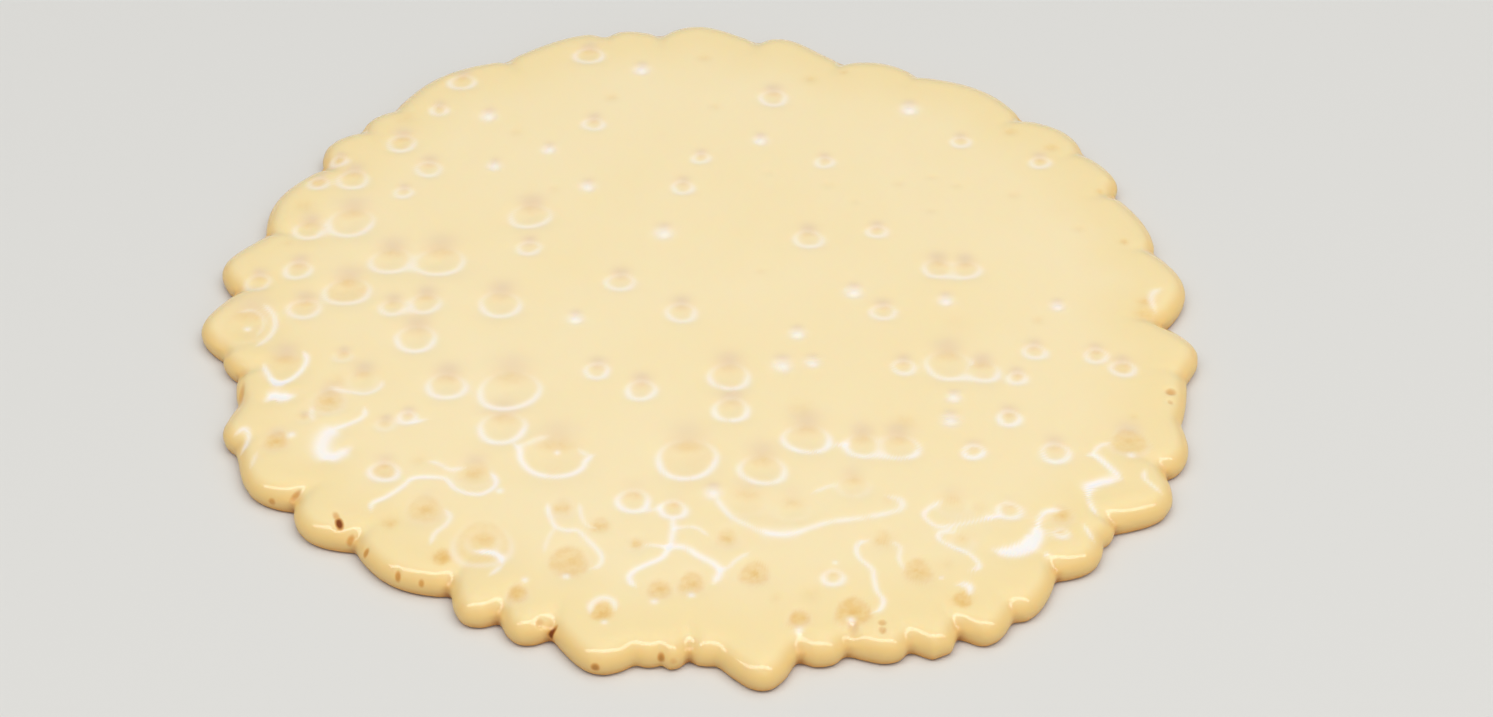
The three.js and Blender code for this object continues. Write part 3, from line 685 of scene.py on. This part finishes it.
# Wet wheat batter: pale and glossy on top, set and golden where it touches the heat, with painted shade on
# its side, in its clefts and behind its bubbles, and painted highlights along its lines and beads.
batterLook = {
    "attributes": ["rimGap", "cleft", "shade", "film", "line", "bead"],
    # size in mm and detail
    "noises": {
        "patches": (22, 3),      # slow patches in the batter's colour
        "mottle": (1.3, 2),      # unevenness of the tan films
        "skin": (0.9, 2),        # the finest unevenness of the wet skin
        "crust": (9, 5),
        "scorch": (3, 6),
    },
    # an open pore's dark, from its edge inward in pore radii
    "poreEdge": 1.8,
    "poreCore": 0.4,
    # smooth steps of a value: which value, start and end, and what it gives there;
    # rimGap is the distance inward from the rim in mm, and below 0 the way down to the foot
    "fades": {
        # yellower and a little darker towards the rim
        "yellowerNearRim": ("rimGap", 15, 2.5, 0, 0.8),
        # the side and foot: partly the set batter's golden colour, partly painted shade where the side gets
        # less light, darkest at the contact line
        "rimSideSetAndShade": ("rimGap", 2.2, 0.2, 0, 1),
        "setFootAndShade": ("rimGap", 0.1, -1.4, 0, 1),
        "footBrownAndShade": ("rimGap", -1.2, -1.55, 0, 0.8),
        # painted shade in the clefts between the lobes, darker down at the foot
        "cleftSide": ("rimGap", 2.5, 0, 0, 0.45),
        "cleftFoot": ("rimGap", 0.5, -1, 0, 1),
        "filmMottle": ("mottle", 0.35, 0.65, 0.8, 1.2),
        "poreRim": ("throat", 0.02, 0.45, 0, 0.85),
        "poreDark": ("throat", 0.3, 1, 0, 1),
        # where the painted highlights of the lines and beads turn white
        "lineWhiteHighlight": ("lineStrength", 0.95, 1.5, 0, 1),
        "beadWhiteHighlight": ("beadStrength", 0.95, 1.5, 0, 1),
        "browned": ("crust", 0.4, 0.62, 0, 1),
        "scorched": ("scorch", 0.5, 0.72, 0, 0.8),
        "under": ("rimGap", -1.45, -1.59, 0, 1),
        "roughness": ("rimGap", 2.5, -1, 0.35, 0.6),     # the side has begun to dry
        "wetSide": ("rimGap", 1.2, 0, 1, 0.3),
        "wetPore": ("throat", 0.2, 0.8, 1, 0.1),
    },
    # values multiplied by each other, kept between 0 and 1
    "products": {
        "paintedCleftShade": ("cleft", "cleftSide"),
        "paintedCleftFootShade": ("cleft", "cleftFoot"),
        "filmTanAndShade": ("film", "filmMottle"),
        "lineHighlight": ("lineStrength", "highlightShare"),
        "beadHighlight": ("beadStrength", "highlightShare"),
        "wetness": ("wetSide", "wetPore"),
    },
    # share of the line and bead strength that shows as painted highlight
    "highlightShare": 0.94,
    # colours laid over each other: the first is the ground, then each with how much of it shows
    "top": ["#F8E6BC", [
        ("#F7E1AC", "patches"),
        ("#F4DDA3", "yellowerNearRim"),
        # side and foot: set colour with painted shade
        ("#EECB85", "rimSideSetAndShade"),
        ("#E3A650", "setFootAndShade"),
        ("#B06E2E", "footBrownAndShade"),
        # painted shade in the clefts
        ("#D89A48", "paintedCleftShade"),
        ("#B8742E", "paintedCleftFootShade"),
        ("#E5CDAC", "shade"),        # grey shade behind the bubbles
        ("#E7BB6C", "filmTanAndShade"),      # painted shade of a bubble's far inner wall seen through the thin film, and the tan of set films and dimples
        ("#D89A48", "poreRim"),
        ("#7E3C06", "poreDark"),
        ("#FFF4E8", "lineHighlight"),     # painted highlight along the lines of the bubbles and creases
        # whiter where the painted highlight is strongest
        ("#F8F3EE", "lineWhiteHighlight"),
        # painted highlights on the beads and glints
        ("#FFF4E8", "beadHighlight"),
        ("#F8F3EE", "beadWhiteHighlight"),
    ]],
    "underside": ["#EBCB90", [
        ("#DBA660", "browned"),
        ("#A9692F", "scorched"),
    ]],
    # how far each raises the wet skin, in mm
    "relief": {"skin": 0.004, "lineStrength": -0.09, "beadStrength": 0.12},
    "bodyRelief": 0.15,      # the lines show less in the soft batter than in its wet skin
    "batterIor": 1.38,
    "shine": 0.3,
    "scatter": 0.3,
    "scatterRadius": (1.0, 0.6, 0.25),
    "scatterDepth": 1.2,     # mm
    "wetRoughness": 0.08,    # the wet skin shows small crisp highlights
    "wetIor": 1.5,
}


def poreThroats(tree, place):
    # how dark each point is from the open pores, by a long spot round each
    edge, core = batterLook["poreEdge"], batterLook["poreCore"]
    poreX, poreY = np.array(pores)[:, 0], np.array(pores)[:, 1]
    poreZ = shoulderHeight(distanceToRim(rimLoop(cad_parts["pancake"]), poreX, poreY))
    throat = 0
    for (x, y, width, length, turn, brown), z in zip(pores, poreZ):
        spot = addNode(tree, "ShaderNodeMapping", {
            "Vector": place,
            "Location": (x * mm, y * mm, z * mm),
            "Rotation": (0, 0, math.radians(turn)),
            "Scale": (length / 2 * mm, width / 2 * mm, max(width, length) / 2 * mm),
        }, vector_type="TEXTURE")
        away = addNode(tree, "ShaderNodeVectorMath", {0: spot}, "Value", operation="LENGTH")
        dark = addNode(tree, "ShaderNodeMapRange", {
            "Value": away, "From Min": edge, "From Max": core, "To Max": brown,
        }, interpolation_type="SMOOTHSTEP")
        throat = addNode(tree, "ShaderNodeMath", {0: throat, 1: dark}, operation="MAXIMUM")
    return throat


def batterMaterial():
    # wet batter reflects sharply from its skin while light goes a little way into its pale body
    look = batterLook
    material = bpy.data.materials.new("wetWheatBatter")
    material.use_nodes = True
    tree = material.node_tree
    tree.nodes.clear()
    place = addNode(tree, "ShaderNodeTexCoord", give="Object")
    values = {"highlightShare": look["highlightShare"]}
    for name in look["attributes"]:
        values[name] = addNode(tree, "ShaderNodeAttribute", give="Fac", attribute_name=name)
    for name, (size, detail) in look["noises"].items():
        noise = {"Vector": place, "Scale": 1 / (size * mm), "Detail": detail}
        values[name] = addNode(tree, "ShaderNodeTexNoise", noise, "Fac")

    # the lines' and beads' strength is kept as a logarithm
    for name in ("line", "bead"):
        power = addNode(tree, "ShaderNodeMath", {0: values[name], 1: -1}, operation="MULTIPLY")
        values[name + "Strength"] = addNode(tree, "ShaderNodeMath", {0: power}, operation="EXPONENT")

    values["throat"] = poreThroats(tree, place)

    for name, (source, start, end, low, high) in look["fades"].items():
        values[name] = addNode(tree, "ShaderNodeMapRange", {
            "Value": values[source], "From Min": start, "From Max": end, "To Min": low, "To Max": high,
        }, interpolation_type="SMOOTHSTEP")
    for name, (first, second) in look["products"].items():
        both = {0: values[first], 1: values[second]}
        values[name] = addNode(tree, "ShaderNodeMath", both, operation="MULTIPLY", use_clamp=True)

    # the colour of the top and side, with its painted shade and highlights, and of the dry, browned
    # underside
    colours = {}
    for side in ("top", "underside"):
        ground, layers = look[side]
        colour = linearColour(ground)
        for hexCode, share in layers:
            pair = {"Factor": values[share], "A": colour, "B": linearColour(hexCode)}
            colour = addNode(tree, "ShaderNodeMix", pair, "Result", data_type="RGBA")
        colours[side] = colour
    pair = {"Factor": values["under"], "A": colours["top"], "B": colours["underside"]}
    colour = addNode(tree, "ShaderNodeMix", pair, "Result", data_type="RGBA")

    height = 0
    for name, rise in look["relief"].items():
        step = {0: values[name], 1: rise, 2: height}
        height = addNode(tree, "ShaderNodeMath", step, operation="MULTIPLY_ADD")
    bump = {"Height": height, "Distance": mm}
    body = addNode(tree, "ShaderNodeBump", {**bump, "Strength": look["bodyRelief"]})
    wet = addNode(tree, "ShaderNodeBump", {**bump, "Strength": 1})
    shader = addNode(tree, "ShaderNodeBsdfPrincipled", {
        "Base Color": colour,
        "Roughness": values["roughness"],
        "IOR": look["batterIor"],
        "Specular IOR Level": look["shine"],
        "Subsurface Weight": look["scatter"],
        "Subsurface Radius": look["scatterRadius"],
        "Subsurface Scale": look["scatterDepth"] * mm,
        "Normal": body,
        "Coat Weight": values["wetness"],
        "Coat Roughness": look["wetRoughness"],
        "Coat IOR": look["wetIor"],
        "Coat Normal": wet,
    })
    addNode(tree, "ShaderNodeOutputMaterial", {"Surface": shader})
    return material


pancake = makePancake()
pancake.data.materials.append(batterMaterial())
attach(pancake, "root")
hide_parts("pancake")
print("pancake made,", len(pancake.data.polygons), "faces")


# Plain pale floor and plain soft studio light.
studio = {
    "floorColour": "#D9D8D4",
    "floorRoughness": 0.7,
    "floorSize": 3.0,        # m
    "sky": 0.32,
}

# name, bearing to the right of straight back, elevation, distance in m, width, height, watts,
# and whether the glossy skin mirrors it: only the narrow strip does, as a thin line on the shoulder
lights = [
    ("overhead", 120, 83, 1.8, 2.2, 1.8, 15.2, False),
    ("strip", 180, 77, 1.2, 2.4, 0.28, 8.2, True),
    ("front", 150, 26, 2.0, 2.4, 1.2, 5, False),
]


def makeFloor():
    mesh = bmesh.new()
    bmesh.ops.create_grid(mesh, x_segments=1, y_segments=1, size=studio["floorSize"] / 2)
    data = bpy.data.meshes.new("floor")
    mesh.to_mesh(data)
    mesh.free()
    floor = addObject("floor", data)
    material = bpy.data.materials.new("paleFloor")
    material.use_nodes = True
    shader = material.node_tree.nodes["Principled BSDF"]
    shader.inputs["Base Color"].default_value = linearColour(studio["floorColour"])
    shader.inputs["Roughness"].default_value = studio["floorRoughness"]
    data.materials.append(material)


def makeLamps():
    for name, bearing, elevation, distance, width, height, power, mirrored in lights:
        data = bpy.data.lights.new(name, "AREA")
        data.shape = "RECTANGLE"
        data.size, data.size_y = width, height
        data.energy = power
        bearing, elevation = math.radians(bearing), math.radians(elevation)
        flat, up = distance * math.cos(elevation), distance * math.sin(elevation)
        place = Vector((flat * math.sin(bearing), flat * math.cos(bearing), up))
        lamp = addObject(name, data)
        lamp.location = place
        lamp.visible_glossy = mirrored
        lamp.rotation_euler = place.to_track_quat("Z", "Y").to_euler()


def makeSky():
    world = bpy.data.worlds.new("softRoom")
    world.use_nodes = True
    background = world.node_tree.nodes["Background"]
    background.inputs["Color"].default_value = (1, 1, 1, 1)
    background.inputs["Strength"].default_value = studio["sky"]
    bpy.context.scene.world = world
    bpy.context.scene.view_settings.view_transform = "Standard"


makeFloor()
makeLamps()
makeSky()
print("studio made")
